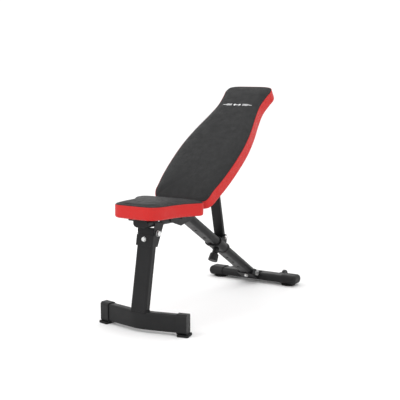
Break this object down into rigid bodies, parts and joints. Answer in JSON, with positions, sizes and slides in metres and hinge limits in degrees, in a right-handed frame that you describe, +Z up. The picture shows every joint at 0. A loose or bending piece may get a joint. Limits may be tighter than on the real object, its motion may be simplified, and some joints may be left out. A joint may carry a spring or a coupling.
{
  "type": "decline sit up bench",
  "caption": "Adjustable sit up bench: waisted padded backrest hinged behind a short seat, propped by a strut on a pin-locked sleeve that slides along the rear leg.",
  "frame": {"origin": "on the floor, at the middle of the bench's bounding box", "axes": "+Y from the seat towards the head end, +X to the sitter's left, +Z up"},
  "size_m": [0.388, 0.9156, 0.7755],
  "materials": {
    "vinyl_black": "matt black vinyl with a fine leather grain",
    "vinyl_red": "satin red vinyl with a fine leather grain",
    "plywood": "raw plywood",
    "bottom_cloth": "black non-woven dust cloth",
    "frame_paint": "satin black powder coat",
    "zinc": "bright zinc plate",
    "spring_steel": "plain spring wire",
    "bush_steel": "plain turned steel",
    "plastic": "black moulded plastic with a fine spark texture",
    "rubber": "black rubber",
    "wheel_plastic": "black nylon"
  },
  "bodies": {
    "root": {"frame_nuts": "zinc", "frame_washers": "zinc", "front_foot_cap_left": "plastic", "front_foot_cap_right": "plastic", "front_foot_pad_left": "rubber", "front_foot_pad_right": "rubber", "front_foot_tube": "frame_paint", "front_post": "frame_paint", "hinge_bolt": "zinc", "hinge_ear_left": "frame_paint", "hinge_ear_right": "frame_paint", "post_bracket": "frame_paint", "post_cross_bolt": "zinc", "post_front_bolt": "zinc", "rear_cross_bolt": "zinc", "rear_foot_bracket": "frame_paint", "rear_foot_cap_left": "plastic", "rear_foot_cap_right": "plastic", "rear_foot_pad_left": "rubber", "rear_foot_pad_right": "rubber", "rear_foot_tube": "frame_paint", "rear_front_bolt": "zinc", "seat_board": "plywood", "seat_bolts": "zinc", "seat_bottom_cloth": "bottom_cloth", "seat_crossbar_front": "frame_paint", "seat_crossbar_rear": "frame_paint", "seat_cushion": "vinyl_black", "spine_front_plug": "plastic", "spine_tube": "frame_paint", "wheel_axle_left": "zinc", "wheel_axle_right": "zinc", "wheel_bracket_left": "frame_paint", "wheel_bracket_right": "frame_paint"},
    "backrest": {"backrest_cushion": "vinyl_black", "backrest_board": "plywood", "backrest_bottom_cloth": "bottom_cloth", "backrest_rail": "frame_paint", "backrest_bolts": "zinc", "backrest_hinge_bush": "bush_steel", "strut_bracket_cheeks": "frame_paint", "strut_bracket_bolt_ends": "zinc", "backrest_washers": "zinc"},
    "slider": {"slider_sleeve": "frame_paint", "slider_collar_upper": "plastic", "slider_collar_lower": "plastic", "slider_lugs": "frame_paint", "strut_pivot_bolt": "zinc", "strut_pivot_nut_and_washers": "zinc", "plunger_housing": "frame_paint", "plunger_spring": "spring_steel"},
    "strut": {"strut_tube": "frame_paint", "strut_bushes": "bush_steel", "strut_top_pin": "zinc"},
    "pull_pin": {"pull_pin": "zinc", "pull_knob": "plastic"},
    "wheel_left": {"wheel_left": "wheel_plastic"},
    "wheel_right": {"wheel_right": "wheel_plastic"}
  },
  "joints": [
    {"name": "backrest_hinge", "type": "hinge", "parent": "root", "child": "backrest", "pos_m": [0, -0.12879, 0.36875], "axis": [1, 0, 0], "range_deg": [-34.6, 25.4]},
    {"name": "slider_slide", "type": "slide", "parent": "root", "child": "slider", "axis": [0, 0.848, -0.5299], "range_m": [-0.1345, 0.183]},
    {"name": "strut_pivot", "type": "hinge", "parent": "slider", "child": "strut", "pos_m": [0, 0.1098, 0.226], "axis": [1, 0, 0], "range_deg": [-13.5, 18]},
    {"name": "pull_pin_slide", "type": "slide", "parent": "slider", "child": "pull_pin", "axis": [0, -0.5299, -0.848], "range_m": [0, 0.007], "stiffness_N_per_m": 800, "springref_m": -0.012, "deforming": ["plunger_spring"]},
    {"name": "wheel_left_spin", "type": "hinge", "parent": "root", "child": "wheel_left", "pos_m": [0.11, 0.4378, 0.024], "axis": [1, 0, 0], "continuous": true},
    {"name": "wheel_right_spin", "type": "hinge", "parent": "root", "child": "wheel_right", "pos_m": [-0.11, 0.4378, 0.024], "axis": [1, 0, 0], "continuous": true}
  ],
  "couplings": [
    {"joint": "slider_slide", "follows": "backrest_hinge", "m_per_rad": -0.301},
    {"joint": "strut_pivot", "follows": "backrest_hinge", "ratio": -0.5}
  ]
}
